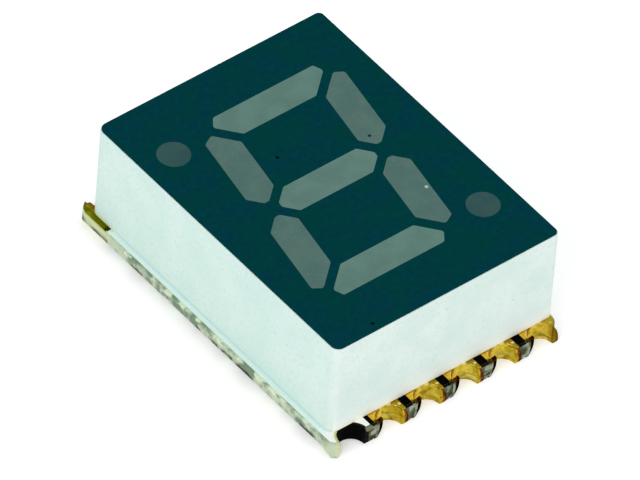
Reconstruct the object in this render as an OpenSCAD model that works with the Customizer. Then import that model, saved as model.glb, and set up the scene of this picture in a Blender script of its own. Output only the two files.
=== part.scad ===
// Single-digit surface-mount seven segment display with two decimal points.
// A white moulded reflector stands on a thin circuit board. Nine wells run down through it to nine
// light-emitting chips, and cast resin fills each well flush with a dark printed face.
// Plated half holes along the board's front and back edges are the solder terminals.
// Millimetres. The origin is the middle of the underside, +X the digit's right and +Y its top.

/* [Digit] */
// Height of the digit over its outer edges
digit_h = 7.05; // [5:0.05:10]
// Width of the digit over its outer edges, measured level
digit_w = 4.69; // [3.6:0.01:7]
// Width of one segment
stroke = 0.93; // [0.8:0.01:1.1]
// Lean of the digit to the right, in degrees
slant = 10; // [0:0.5:12]
// Gap between neighbouring segments, across their mitred ends
mitre_gap = 0.28; // [0.2:0.01:0.4]
// How far a segment's tip is cut back at a corner of the digit
tip_cut = 0.3; // [0.1:0.01:0.4]
// How far that cut leans back along the segment
tip_lean = 0.17; // [0.05:0.01:0.25]
// Half width of the blunt tips beside the middle segment
middle_blunt = 0.08; // [0.05:0.01:0.15]
// Corner radius of a segment's outline
segment_corner_r = 0.1; // [0.04:0.01:0.12]
// Diameter of a decimal point
dot_d = 0.92; // [0.9:0.01:1.2]
// From the block's side wall to the middle of a decimal point
dot_inset = 1.02; // [0.9:0.01:1.1]

/* [Reflector] */
// From the digit to the block's side walls, at the digit's middle
side_margin = 1.405; // [1.1:0.005:2.5]
// From the digit to the block's front and back walls
end_margin = 1.505; // [1.2:0.005:3]
// Height of the block without its printed face
block_h = 3.06; // [2:0.02:6]
// Radius of the block's upright corners on the left
left_corner_r = 0.26; // [0.1:0.01:0.5]
// Radius of the block's upright corners on the right
right_corner_r = 0.18; // [0.1:0.01:0.5]
// How far the block stands to the right of the board's centre line
block_shift = 0.1; // [0:0.01:0.1]
// Thickness of the dark print on the face
print_t = 0.04; // [0.02:0.01:0.1]
// Bare rim left round the print
print_rim = 0.03; // [0.01:0.01:0.1]

/* [Wells] */
// How far each wall of a segment's well closes in from face to foot
well_draft = 0.12; // [0.04:0.01:0.16]
// How far a decimal point's well closes in
dot_draft = 0.05; // [0.02:0.01:0.07]
// Height of the straight foot of a well
foot_h = 0.1; // [0.05:0.01:0.3]

/* [Board] */
// Thickness of the bare laminate
laminate_t = 0.5; // [0.3:0.02:1.2]
// How much wider the board is than the block, on each side
side_ledge = 0.1; // [0.1:0.01:0.5]
// Least width of the prong left between the last half hole and the board's side
prong_w = 0.2; // [0.15:0.01:0.4]
// How far the board stands out at the front and at the back
end_ledge = 0.37; // [0.36:0.01:0.8]
// Radius of the board's corners beside the unplated half holes
bare_corner_r = 0.25; // [0.1:0.01:0.4]
// Radius of the board's corners beside the corner lands
land_corner_r = 0.45; // [0.1:0.01:0.5]
// Thickness of the board's sides, where it was scored from below and snapped off
web_t = 0.28; // [0.2:0.01:0.28]
// How far the score slopes in under the sides
score_in = 0.17; // [0.05:0.01:0.18]
// Bare laminate left along the cut edges, where the coats stop
coat_gap = 0.07; // [0.06:0.01:0.09]
// Thickness of one coat of lacquer
lacquer_t = 0.02; // [0.01:0.005:0.03]
// Black left bare of white ink round each top land
ink_margin = 0.14; // [0.14:0.01:0.2]
// Bare laminate left round each land underneath
under_margin = 0.06; // [0.03:0.01:0.1]

/* [Terminals] */
// Spacing of the half holes along an edge
pitch = 1.27; // [1.2:0.01:1.3]
// Diameter of a finished half hole
notch_d = 0.8; // [0.6:0.01:0.84]
// Thickness of the plating in a half hole
plating_t = 0.03; // [0.02:0.005:0.04]
// Thickness of a land on the board's faces
copper_t = 0.04; // [0.03:0.005:0.08]
// Width of a land
land_w = 1; // [0.9:0.01:1.02]
// Length of a land from the board's edge
land_l = 1.2; // [1:0.02:1.4]
// From the corner lands to the board's side
land_edge = 0.05; // [0.03:0.01:0.05]
// Width of a copper track
track_w = 0.14; // [0.1:0.01:0.18]

/* [Chips] */
// Side of a light-emitting chip
chip_w = 0.25; // [0.2:0.01:0.28]
// Height of a chip
chip_h = 0.18; // [0.1:0.01:0.3]
// Thickness of the conducting glue under a chip
glue_t = 0.015; // [0.01:0.005:0.03]
// Glue squeezed out round a chip
glue_rim = 0.015; // [0.01:0.005:0.02]
// From the middle of a chip to the middle of its bond pad
bond_pitch = 0.42; // [0.4:0.01:0.46]
// Side of the copper pad under a chip
chip_pad = 0.34; // [0.32:0.01:0.36]
// Side of the copper pad that takes the wire
bond_pad = 0.24; // [0.2:0.01:0.28]
// Diameter of a bond wire
wire_d = 0.025; // [0.02:0.005:0.03]
// Rise of the wire above its chip
loop_h = 0.12; // [0.08:0.01:0.2]
// Diameter of the ball that ends the wire on the chip
ball_d = 0.09; // [0.07:0.01:0.12]

/* [Hidden] */
$fn = 48;
// Steps of a segment's rounded corner
corner_steps = 4;
// Sides of the wires and of the round ends of tracks
fine_sides = 8;

// Half holes along one edge, the first of which is left unplated
notches = 6;
drill_r = notch_d / 2 + plating_t;
notch_row_w = (notches - 1) * pitch + 2 * drill_r;

// The block takes its size from the digit, and the board from the block and its row of half holes
block_w = digit_w + 2 * side_margin;
block_d = digit_h + 2 * end_margin;
board_w = max(block_w + 2 * side_ledge, notch_row_w + 2 * prong_w);
board_d = block_d + 2 * end_ledge;

// Heights of the layers, from the underside up
z_laminate = copper_t;
z_copper = z_laminate + laminate_t;
z_ink = z_copper + lacquer_t;
z_board = z_copper + copper_t;
z_print = z_board + block_h;
z_chip = z_board + glue_t;
z_bond = z_chip + chip_h;

// The nine lit places: seven segments, then the two points
PLACES = ["a", "b", "c", "d", "e", "f", "g", "dot_left", "dot_right"];
segments = 7;
all_places = [0 : len(PLACES) - 1];
// The side of its well on which each chip sits, its bond pad lying opposite
chip_sides = [[-1, 0], [0, -1], [0, 1], [1, 0], [0, 1], [0, -1], [1, 0], [0, -1], [0, 1]];

// What each terminal feeds, counted from the front left round to the back left
FEEDS = ["e", "d", "common", "c", "dot_right", "b", "a", "g", "f", "dot_left"];
all_terminals = [0 : len(FEEDS) - 1];

white = [0.83, 0.92, 0.9];
teal = [0.01, 0.2, 0.21];
resin = [0.34, 0.47, 0.44];
gold = [0.61, 0.51, 0.08];
laminate = [0.72, 0.72, 0.56];
black = [0.02, 0.02, 0.02];
ink = [0.95, 0.96, 0.95];
crystal = [0.85, 0.35, 0.2];
silver = [0.7, 0.7, 0.68];

// Outlines of the digit, upright, about its own centre and drawn in by a distance

// Middle line of the upright strokes, and of the top and bottom ones
function stroke_x() = (digit_w - stroke) / 2;
function stroke_y() = (digit_h - stroke) / 2;
// Half the gap between two mitred ends, measured along a stroke
function mitre(draw_in) = (mitre_gap + 2 * draw_in) / sqrt(2);

function top_bar(draw_in) =
    let (x = digit_w / 2 - draw_in, y = digit_h / 2 - draw_in, s = stroke - 2 * draw_in,
         g = mitre(draw_in), tip = x - g - tip_cut)
    [[s + g - x, y - s], [x - s - g, y - s], [tip, y - tip_cut], [tip - tip_lean, y],
     [tip_lean - tip, y], [-tip, y - tip_cut]];

function right_bar(draw_in) =
    let (x = digit_w / 2 - draw_in, y = digit_h / 2 - draw_in, s = stroke - 2 * draw_in,
         g = mitre(draw_in), tip = y - g - tip_cut)
    [[stroke_x() - middle_blunt, g + middle_blunt], [stroke_x() + middle_blunt, g + middle_blunt],
     [x, g + s / 2], [x, tip - tip_lean], [x - tip_cut, tip], [x - s, y - s - g], [x - s, g + s / 2]];

function middle_bar(draw_in) =
    let (s = stroke - 2 * draw_in, reach = stroke_x() - mitre(draw_in))
    [for (side = [1, -1]) each
        [[side * (s / 2 - reach), -side * s / 2], [side * (reach - s / 2), -side * s / 2],
         [side * (reach - middle_blunt), -side * middle_blunt],
         [side * (reach - middle_blunt), side * middle_blunt]]];

function flipped(points, x, y) = [for (p = points) [x * p.x, y * p.y]];
function upright_outline(i, draw_in) =
    i == 0 ? top_bar(draw_in) :
    i == 1 ? right_bar(draw_in) :
    i == 2 ? flipped(right_bar(draw_in), 1, -1) :
    i == 3 ? flipped(top_bar(draw_in), 1, -1) :
    i == 4 ? flipped(right_bar(draw_in), -1, -1) :
    i == 5 ? flipped(right_bar(draw_in), -1, 1) :
    middle_bar(draw_in);

function unit(v) = v / norm(v);
// A corner of an outline as a short arc between its two sides
function corner_arc(before, at, after, r) =
    let (a = unit(before - at), b = unit(after - at), half = acos(a * b) / 2,
         centre = at + unit(a + b) * r / sin(half), from = at + a * r / tan(half) - centre,
         start = atan2(from.y, from.x), turn = sign(cross(b, a)) * (180 - 2 * half))
    [for (k = [0 : corner_steps])
        centre + r * [cos(start + turn * k / corner_steps), sin(start + turn * k / corner_steps)]];
function rounded(points, r) =
    let (n = len(points))
    [for (i = [0 : n - 1]) each corner_arc(points[(i + n - 1) % n], points[i], points[(i + 1) % n], r)];

// From the upright digit to its place on the block
function leaned(p) = [p.x + p.y * tan(slant) + block_shift, p.y];
function outline(i, draw_in) =
    [for (p = rounded(upright_outline(i, draw_in), segment_corner_r)) leaned(p)];

// Middles of the nine wells, and of the chip and bond pad in each
dot_x = block_w / 2 - dot_inset;
upright_middles = [
    [0, stroke_y()], [stroke_x(), stroke_y() / 2], [stroke_x(), -stroke_y() / 2], [0, -stroke_y()],
    [-stroke_x(), -stroke_y() / 2], [-stroke_x(), stroke_y() / 2], [0, 0]
];
middles = concat(
    [for (p = upright_middles) leaned(p)],
    [[block_shift - dot_x, stroke_y()], [block_shift + dot_x, -stroke_y()]]
);
function place(name) = search([name], PLACES)[0];
function chip_at(i) = middles[i] + chip_sides[i] * bond_pitch / 2;
function bond_at(i) = middles[i] - chip_sides[i] * bond_pitch / 2;

// Where a terminal's half hole meets the edge, and the inner end of its land
function edge_side(t) = t < len(FEEDS) / 2 ? -1 : 1;
function edge_step(t) = t % (len(FEEDS) / 2) - notches / 2 + 1.5;
function terminal_x(t) = -edge_side(t) * edge_step(t) * pitch;
function terminal_at(t) = [terminal_x(t), edge_side(t) * board_d / 2];
function land_end(t) = [terminal_x(t), edge_side(t) * (board_d / 2 - land_l + track_w / 2)];

// A rectangle with its own radius at each corner, from the front left round to the back left
module rounded_2d(w, d, radii) {
    turns = [[-1, -1], [1, -1], [1, 1], [-1, 1]];
    polygon([for (i = [0 : 3])
        let (side = [turns[i].x * w / 2, turns[i].y * (d / 2 - radii[i])],
             end = [turns[i].x * (w / 2 - radii[i]), turns[i].y * d / 2])
        each turns[i].x == turns[i].y ? [side, end] : [end, side]]);
    for (i = [0 : 3])
        translate([turns[i].x * (w / 2 - radii[i]), turns[i].y * (d / 2 - radii[i])]) circle(radii[i]);
}

// Flat line of copper or wire through a list of points, with blunt rounded ends
module line_2d(points, w) {
    for (i = [0 : len(points) - 2]) {
        run = points[i + 1] - points[i];
        translate(points[i]) rotate(atan2(run.y, run.x)) translate([0, -w / 2]) square([norm(run), w]);
    }
    for (p = points) translate(p) circle(w / 2, $fn = fine_sides);
}

// Plan of the block, drawn in by a distance
module block_2d(draw_in) {
    radii = [left_corner_r, right_corner_r, right_corner_r, left_corner_r];
    translate([block_shift, 0])
        rounded_2d(block_w - 2 * draw_in, block_d - 2 * draw_in, [for (r = radii) r - draw_in]);
}

// Plan of the board without its half holes, drawn in from its sides and from its ends
module blank_2d(from_sides, from_ends) {
    radii = [bare_corner_r, land_corner_r, bare_corner_r, land_corner_r];
    rounded_2d(board_w - 2 * from_sides, board_d - 2 * from_ends, [for (r = radii) r - from_sides]);
}

module layer(z, t) {
    translate([0, 0, z]) linear_extrude(t) children();
}

// Reflector and face

module well_mouth(i) {
    if (i < segments) polygon(outline(i, 0));
    else translate(middles[i]) circle(d = dot_d);
}

// The whole hollow of one well, from the board up to the top of the print
module well(i) {
    if (i < segments) {
        hull() {
            layer(z_board, foot_h) polygon(outline(i, well_draft));
            layer(z_print, print_t) polygon(outline(i, 0));
        }
    } else {
        layer(z_print, print_t) well_mouth(i);
        translate([middles[i].x, middles[i].y, z_board])
            cylinder(h = block_h, r1 = dot_d / 2 - dot_draft, r2 = dot_d / 2);
    }
}

module reflector_block() {
    color(white) difference() {
        layer(z_board, block_h) block_2d(0);
        for (i = all_places) well(i);
    }
}

module face_print() {
    color(teal) layer(z_print, print_t) difference() {
        block_2d(print_rim);
        for (i = all_places) well_mouth(i);
    }
}

// Lit places

module chip_glue(i) {
    w = chip_w + 2 * glue_rim;
    color(silver) translate(chip_at(i)) layer(z_board, glue_t) square(w, center = true);
}

module chip(i) {
    color(crystal) translate(chip_at(i)) layer(z_chip, chip_h) square(chip_w, center = true);
}

// Gold wire from a ball on the chip, over the chip's edge and down to a flat stitch on the pad
module bond_wire(i) {
    toward = -chip_sides[i];
    shoulder = chip_w / 2 + 2 * wire_d;
    stitch = [4 * wire_d, 2 * wire_d, wire_d];
    path = [
        [0, z_bond + wire_d], [0, z_bond + loop_h], [shoulder, z_bond + loop_h],
        [bond_pitch, z_board + wire_d / 2]
    ];
    color(gold) translate(chip_at(i)) rotate(atan2(toward.y, toward.x)) {
        rotate([90, 0, 0]) translate([0, 0, -wire_d / 2]) linear_extrude(wire_d) line_2d(path, wire_d);
        translate([0, 0, z_bond]) cylinder(h = 2 * wire_d, d = ball_d, $fn = fine_sides);
        translate([bond_pitch - stitch.x / 2, -stitch.y / 2, z_board]) cube(stitch);
    }
}

module cast_resin(i) {
    color(resin) difference() {
        well(i);
        chip_glue(i);
        chip(i);
        bond_wire(i);
    }
}

// Board

module notches_2d(first, last, r) {
    for (end = [-1, 1], n = [first : last])
        translate([-end * (n - (notches - 1) / 2) * pitch, end * board_d / 2]) circle(r);
}

// Plan of the board, drawn in from its cut edges
module board_2d(draw_in) {
    difference() {
        blank_2d(draw_in, draw_in);
        notches_2d(0, notches - 1, drill_r);
    }
}

// What the score leaves of the underside
module underside_2d() {
    square([board_w - 2 * score_in, board_d], center = true);
}

// A land with its half hole still closed, grown by a margin on the board
module land_2d(t, margin) {
    outward = -edge_side(t);
    corner = t % (len(FEEDS) / 2) == len(FEEDS) / 2 - 1;
    reach = corner ? board_w / 2 - abs(terminal_x(t)) - land_edge : land_w / 2;
    near = -outward * (land_w / 2 + margin);
    far = outward * (reach + margin);
    intersection() {
        translate(terminal_at(t)) translate([min(near, far), edge_side(t) < 0 ? 0 : -land_l - margin])
            square([abs(far - near), land_l + margin]);
        blank_2d(land_edge - margin, 0);
    }
}

// Copper that runs from a land to the pads it feeds
module tracks_2d(t) {
    if (FEEDS[t] == "common") common_tracks_2d(t);
    else {
        bond = bond_at(place(FEEDS[t]));
        route = FEEDS[t] == "g"
            ? [bond, [terminal_x(t), bond.y], land_end(t)]
            : [bond, land_end(t)];
        line_2d(route, track_w);
        translate(bond) square(bond_pad, center = true);
    }
}

module common_tracks_2d(t) {
    at = [for (i = all_places) chip_at(i)];
    a = at[place("a")];
    b = at[place("b")];
    c = at[place("c")];
    d = at[place("d")];
    e = at[place("e")];
    f = at[place("f")];
    g = at[place("g")];
    left = at[place("dot_left")];
    right = at[place("dot_right")];
    routes = [
        [land_end(t), [terminal_x(t), g.y], g, [a.x, g.y], a],
        [d, [terminal_x(t), d.y]],
        [e, c, [right.x, c.y], right],
        [b, [a.x, b.y]],
        [e, [left.x, e.y], left],
        [f, [left.x, f.y]]
    ];
    for (route = routes) line_2d(route, track_w);
    for (p = at) translate(p) square(chip_pad, center = true);
}

module terminal(t) {
    color(gold) {
        layer(z_copper, copper_t) difference() {
            union() {
                land_2d(t, 0);
                tracks_2d(t);
            }
            translate(terminal_at(t)) circle(d = notch_d);
        }
        layer(0, copper_t) difference() {
            intersection() {
                land_2d(t, 0);
                underside_2d();
            }
            translate(terminal_at(t)) circle(d = notch_d);
        }
        layer(0, z_board) intersection() {
            translate(terminal_at(t)) difference() {
                circle(drill_r);
                circle(d = notch_d);
            }
            blank_2d(0, 0);
        }
    }
}

// The sloping cut that the score leaves under one side of the board
module score(side) {
    slope = (laminate_t - web_t) / score_in;
    rotate([90, 0, 0]) translate([0, 0, -board_d]) linear_extrude(2 * board_d) polygon([
        [side * (board_w / 2 - score_in), z_laminate],
        [side * board_w / 2, z_laminate + slope * score_in],
        [side * (board_w / 2 + score_in), z_laminate + 2 * slope * score_in],
        [side * (board_w / 2 + score_in), z_laminate]
    ]);
}

module board_laminate() {
    color(laminate) difference() {
        layer(z_laminate, laminate_t) board_2d(0);
        for (side = [-1, 1]) score(side);
    }
}

// Black coat on the top, which also lines the unplated notch at the end of each edge
module black_lacquer() {
    color(black) {
        layer(z_copper, lacquer_t) difference() {
            board_2d(coat_gap);
            for (t = all_terminals) {
                land_2d(t, 0);
                tracks_2d(t);
            }
        }
        layer(z_laminate, laminate_t + lacquer_t) intersection() {
            difference() {
                notches_2d(0, 0, drill_r);
                notches_2d(0, 0, drill_r - lacquer_t);
            }
            blank_2d(0, 0);
        }
    }
}

module white_ink() {
    color(ink) layer(z_ink, copper_t - lacquer_t) difference() {
        board_2d(coat_gap);
        for (t = all_terminals) {
            land_2d(t, ink_margin);
            tracks_2d(t);
        }
    }
}

module under_lacquer() {
    color(black) layer(z_laminate - lacquer_t, lacquer_t) difference() {
        intersection() {
            board_2d(0);
            underside_2d();
        }
        for (t = all_terminals) land_2d(t, under_margin);
    }
}

reflector_block();
face_print();
for (i = all_places) {
    cast_resin(i);
    chip(i);
    chip_glue(i);
    bond_wire(i);
}
board_laminate();
black_lacquer();
white_ink();
under_lacquer();
for (t = all_terminals) {
    terminal(t);
}
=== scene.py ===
# %% [markdown]
# A seven segment display, dressed for its photograph.
# The part is one digit with two decimal points. It is a white moulded block, on a thin circuit board, that
# stands on plated half holes along two of its edges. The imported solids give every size, and this file gives
# the looks. Each step below says what the real thing is, how it could be made, and why it is made this way.
# Blender counts in metres, and this part is 11 mm long, so all the modelling is done in millimetres.

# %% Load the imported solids
from math import radians

import bmesh
import bpy
from mathutils import Matrix, Vector


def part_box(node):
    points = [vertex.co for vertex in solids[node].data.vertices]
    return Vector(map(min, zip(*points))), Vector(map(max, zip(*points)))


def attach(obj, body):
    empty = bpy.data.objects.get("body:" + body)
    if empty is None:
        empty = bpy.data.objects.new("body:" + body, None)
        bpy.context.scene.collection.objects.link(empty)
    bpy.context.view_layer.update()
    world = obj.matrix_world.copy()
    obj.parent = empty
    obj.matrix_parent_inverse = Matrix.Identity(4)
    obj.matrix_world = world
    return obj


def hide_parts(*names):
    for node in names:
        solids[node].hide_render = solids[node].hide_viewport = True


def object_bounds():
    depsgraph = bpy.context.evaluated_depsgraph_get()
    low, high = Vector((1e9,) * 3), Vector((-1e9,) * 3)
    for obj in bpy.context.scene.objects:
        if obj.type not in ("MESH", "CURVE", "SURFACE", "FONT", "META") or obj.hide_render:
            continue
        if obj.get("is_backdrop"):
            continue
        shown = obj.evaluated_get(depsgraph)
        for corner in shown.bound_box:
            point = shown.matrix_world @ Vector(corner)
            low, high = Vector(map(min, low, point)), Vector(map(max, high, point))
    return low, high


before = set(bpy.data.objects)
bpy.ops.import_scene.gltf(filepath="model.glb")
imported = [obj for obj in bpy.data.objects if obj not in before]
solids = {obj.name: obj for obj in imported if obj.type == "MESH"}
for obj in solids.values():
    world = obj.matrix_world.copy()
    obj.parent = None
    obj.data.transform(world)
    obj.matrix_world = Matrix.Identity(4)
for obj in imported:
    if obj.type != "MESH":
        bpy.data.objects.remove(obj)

MM = 0.001
cad_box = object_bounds()
print("solids:", len(solids), "size in mm:", [round(x / MM, 3) for x in cad_box[1] - cad_box[0]])

# %% [markdown]
# The camera. The photograph was taken from far off with a long lens: the edges of the block stay almost
# parallel. A camera can be aimed by eye, or worked out from the four corners of the face, whose sizes are
# known. The second way was used, so the values are the lens, the point it looks at, how far away it stands,
# and how much it is turned on its own axis.

# %% Camera
LENS_MM = 967.85
SENSOR_MM = 36
AIM_MM = Vector((-1.4708, -1.6143, 3.6883))
DISTANCE_MM = 447.37
AROUND, ABOVE, ROLL = radians(42.105), radians(45.353), radians(4.822)
CLIP_START = 0.01

turn = Matrix.Rotation(-AROUND, 4, "Z") @ Matrix.Rotation(radians(90) - ABOVE, 4, "X")
camera = bpy.data.objects.new("camera", bpy.data.cameras.new("camera"))
camera.data.lens = LENS_MM
camera.data.sensor_width = SENSOR_MM
camera.data.clip_start = CLIP_START
camera.matrix_world = (
    Matrix.Translation(AIM_MM * MM) @ turn @ Matrix.Translation((0, 0, DISTANCE_MM * MM))
    @ Matrix.Rotation(ROLL, 4, "Z")
)
bpy.context.scene.collection.objects.link(camera)
bpy.context.scene.camera = camera
print("camera at, in mm:", [round(x / MM, 2) for x in camera.matrix_world.translation])

# %% [markdown]
# The light. The photograph is evenly lit on a white ground, as in a light tent, so a plain white sky does
# most of the work and two large soft lamps add a little direction. Together they come to the level at which
# a colour renders as it is written. The floor is pale and matt. Where the camera looks at it, a little light
# of its own lifts it to the white of the photograph, and the part's soft shadow stays on it.

# %% Sky
SKY_STRENGTH = 0.72

scene = bpy.context.scene
scene.view_settings.view_transform = "Standard"
scene.world = bpy.data.worlds.new("sky")
scene.world.use_nodes = True
sky = scene.world.node_tree
sky_light = sky.nodes["Background"]
sky_seen = sky.nodes.new("ShaderNodeBackground")
sky_light.inputs["Color"].default_value = (1, 1, 1, 1)
sky_light.inputs["Strength"].default_value = SKY_STRENGTH
sky_seen.inputs["Color"].default_value = (1, 1, 1, 1)
sky_seen.inputs["Strength"].default_value = 1
sky_path = sky.nodes.new("ShaderNodeLightPath")
sky_mix = sky.nodes.new("ShaderNodeMixShader")
sky.links.new(sky_path.outputs["Is Camera Ray"], sky_mix.inputs[0])
sky.links.new(sky_light.outputs[0], sky_mix.inputs[1])
sky.links.new(sky_seen.outputs[0], sky_mix.inputs[2])
sky.links.new(sky_mix.outputs[0], sky.nodes["World Output"].inputs["Surface"])
print("sky strength:", SKY_STRENGTH)

# %% Lamps
LAMP_AWAY = 0.75
LAMP_SIZE = 0.45


def soft_lamp(name, direction, watts, colour):
    """A large square lamp that faces the part from a direction."""
    lamp = bpy.data.objects.new(name, bpy.data.lights.new(name, "AREA"))
    lamp.data.size = LAMP_SIZE
    lamp.data.energy = watts
    lamp.data.color = colour
    lamp.location = Vector(direction).normalized() * LAMP_AWAY
    lamp.rotation_euler = (-lamp.location).to_track_quat("-Z", "Y").to_euler()
    scene.collection.objects.link(lamp)
    print(name, "watts:", watts)


soft_lamp("key_lamp", direction=(-1.0, -0.35, 0.75), watts=1.8, colour=(1.0, 1.0, 1.0))
soft_lamp("front_lamp", direction=(0.3, -1.0, 0.5), watts=1.1, colour=(1.0, 0.985, 0.97))

# %% Floor
FLOOR_SIDE = 3.0
FLOOR_DROP = 0.000002

shape = bmesh.new()
bmesh.ops.create_grid(shape, x_segments=1, y_segments=1, size=FLOOR_SIDE / 2)
bmesh.ops.translate(shape, vec=(0, 0, -FLOOR_DROP), verts=shape.verts)
floor_mesh = bpy.data.meshes.new("floor")
shape.to_mesh(floor_mesh)
shape.free()
floor = bpy.data.objects.new("floor", floor_mesh)
scene.collection.objects.link(floor)
floor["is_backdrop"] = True
print("floor side in m:", FLOOR_SIDE)

# %% Floor paint
FLOOR_WHITE = 0.9
FLOOR_LIFT = 0.3

floor_paint = bpy.data.materials.new("floor_paint")
floor_paint.use_nodes = True
paint = floor_paint.node_tree
paint.nodes.clear()
matt = paint.nodes.new("ShaderNodeBsdfDiffuse")
matt.inputs["Color"].default_value = (FLOOR_WHITE, FLOOR_WHITE, FLOOR_WHITE, 1)
lift = paint.nodes.new("ShaderNodeEmission")
path = paint.nodes.new("ShaderNodeLightPath")
seen = paint.nodes.new("ShaderNodeMath")
seen.operation = "MAXIMUM"
seen_any = paint.nodes.new("ShaderNodeMath")
seen_any.operation = "MAXIMUM"
amount = paint.nodes.new("ShaderNodeMath")
amount.operation = "MULTIPLY"
amount.inputs[1].default_value = FLOOR_LIFT
both = paint.nodes.new("ShaderNodeAddShader")
paint_out = paint.nodes.new("ShaderNodeOutputMaterial")
paint.links.new(path.outputs["Is Camera Ray"], seen.inputs[0])
paint.links.new(path.outputs["Is Glossy Ray"], seen.inputs[1])
paint.links.new(seen.outputs[0], seen_any.inputs[0])
paint.links.new(path.outputs["Is Transmission Ray"], seen_any.inputs[1])
paint.links.new(seen_any.outputs[0], amount.inputs[0])
paint.links.new(amount.outputs[0], lift.inputs["Strength"])
paint.links.new(matt.outputs[0], both.inputs[0])
paint.links.new(lift.outputs[0], both.inputs[1])
paint.links.new(both.outputs[0], paint_out.inputs["Surface"])
floor_mesh.materials.append(floor_paint)
print("floor white:", FLOOR_WHITE, "lifted by:", FLOOR_LIFT)

# %% [markdown]
# Sizes that the looks follow. A finish often follows a shape: tarnish gathers along the cut edge of the
# board, and dark blotches lie along its foot. These are the imported part's own sizes, in millimetres, read
# from the solids where one solid gives them.

# %% Sizes from the solids
def box_mm(node):
    """Lowest and highest corner of a solid, in millimetres."""
    low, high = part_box(node)
    return low / MM, high / MM


BLOCK_LOW, BLOCK_HIGH = box_mm("reflector_block")
BOARD_LOW, BOARD_HIGH = box_mm("board_laminate")
TERMINAL_TOP = box_mm("terminal_1")[1].z
FACE_Z = box_mm("face_print")[1].z
MID_BOARD_Z = 0.3
PITCH = 1.27
NOTCH_R = 0.4
FIRST_NOTCH = -3.175
LAND_LONG = 1.2
STRIP_END = BOARD_HIGH.y - LAND_LONG
STRIP_MIDDLE = (STRIP_END + BLOCK_HIGH.y) / 2
print("block:", BLOCK_LOW, BLOCK_HIGH, "board:", BOARD_LOW, BOARD_HIGH, "face at:", round(FACE_Z, 3))

# %% [markdown]
# Working copies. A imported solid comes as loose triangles. Where a piece needs finer edges than its solid
# has, a copy is merged, its flat faces are joined up again, and its edges are bevelled. The copy is scaled up
# to millimetres first, because the bevel treats lengths far below a millimetre as nothing when they are
# written in metres. Where two small rounds meet, a bevel can leave faces without any area, so these are
# cleaned away at the end. Then the copy is scaled back, so that its place stays in its mesh.

# %% Working copies of solids
MERGE_MM = 0.0002
FLAT = radians(0.5)
SHARP = radians(32)


def copy_of_solid(node):
    """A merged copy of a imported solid, in millimetres, with its flat faces whole."""
    copy = bmesh.new()
    copy.from_mesh(solids[node].data)
    bmesh.ops.scale(copy, vec=(1 / MM, 1 / MM, 1 / MM), verts=copy.verts)
    bmesh.ops.remove_doubles(copy, verts=copy.verts, dist=MERGE_MM)
    bmesh.ops.dissolve_limit(copy, angle_limit=FLAT, verts=copy.verts, edges=copy.edges)
    return copy


def corner_edges(copy, wanted):
    """Edges between faces that meet at a clear angle, picked by the place of their middle."""
    picked = []
    for edge in copy.edges:
        if len(edge.link_faces) == 2 and edge.calc_face_angle() > SHARP:
            if wanted((edge.verts[0].co + edge.verts[1].co) / 2):
                picked.append(edge)
    return picked


def round_edges(copy, edges, width, steps):
    """Rolls the picked edges over with a small round."""
    bmesh.ops.bevel(
        copy, geom=edges, offset=width, offset_type="OFFSET", affect="EDGES",
        segments=steps, profile=0.5, material=-1, clamp_overlap=True,
    )


print("copies merge points closer than, in mm:", MERGE_MM)

# %% Pieces from finished copies
def make_piece(copy, name, finish, slot, *stands_for):
    """Turns a finished copy into a piece that rides on the part and stands for its solids."""
    bmesh.ops.remove_doubles(copy, verts=copy.verts, dist=MERGE_MM)
    bmesh.ops.dissolve_degenerate(copy, dist=MERGE_MM, edges=copy.edges)
    bmesh.ops.scale(copy, vec=(MM, MM, MM), verts=copy.verts)
    mesh = bpy.data.meshes.new(name)
    copy.to_mesh(mesh)
    copy.free()
    mesh.shade_smooth()
    mesh.set_sharp_from_angle(angle=SHARP)
    mesh.materials.append(finish)
    piece = bpy.data.objects.new(name, mesh)
    scene.collection.objects.link(piece)
    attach(piece, "root")
    if stands_for:
        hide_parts(*stands_for)
    print(name, "faces:", len(mesh.polygons))


def dress_solid(node, finish):
    """A solid whose shape is right stays, and takes its finish in its material slots."""
    for place in solids[node].material_slots:
        place.material = finish


print("edges look sharp above, in radians:", round(SHARP, 3))

# %% [markdown]
# Shared patterns. Plastic, print, resin, ink and gold all show faint clouds of tone, tiny specks and single
# marks. Each could be drawn anew in every material, but a pattern that is built once as a node group, with
# its own named inputs, is easier to tune. Every pattern reads Object coordinates and turns them to
# millimetres, so its scale can be compared with the part itself, and nothing is unwrapped.

# %% Small helpers for nodes
def add_node(tree, kind, **settings):
    """A new node with its settings."""
    node = tree.nodes.new(kind)
    for key, value in settings.items():
        setattr(node, key, value)
    return node


def feed(tree, value, socket):
    """Joins an output to an input, or sets a plain value there."""
    if isinstance(value, bpy.types.NodeSocket):
        tree.links.new(value, socket)
    else:
        socket.default_value = value


def math_node(tree, operation, *values):
    """The result of one sum on the values."""
    node = add_node(tree, "ShaderNodeMath", operation=operation)
    for value, socket in zip(values, node.inputs):
        feed(tree, value, socket)
    return node.outputs[0]


def vector_node(tree, operation, first, second=None, output="Vector"):
    """The result of one sum on vectors."""
    node = add_node(tree, "ShaderNodeVectorMath", operation=operation)
    feed(tree, first, node.inputs[0])
    if second is not None:
        feed(tree, second, node.inputs["Scale" if operation == "SCALE" else 1])
    return node.outputs[output]


def ramp(tree, value, low, high):
    """A soft step from 0 at low to 1 at high."""
    node = add_node(tree, "ShaderNodeMapRange", interpolation_type="SMOOTHSTEP")
    feed(tree, value, node.inputs["Value"])
    feed(tree, low, node.inputs["From Min"])
    feed(tree, high, node.inputs["From Max"])
    return node.outputs[0]


def overlap(tree, first, second):
    """The part that two masks share, or one mask made weaker by a number."""
    return math_node(tree, "MULTIPLY", first, second)


def outside(tree, mask):
    """The opposite of a mask."""
    return math_node(tree, "SUBTRACT", 1.0, mask)


print("helpers for nodes are ready")

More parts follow.
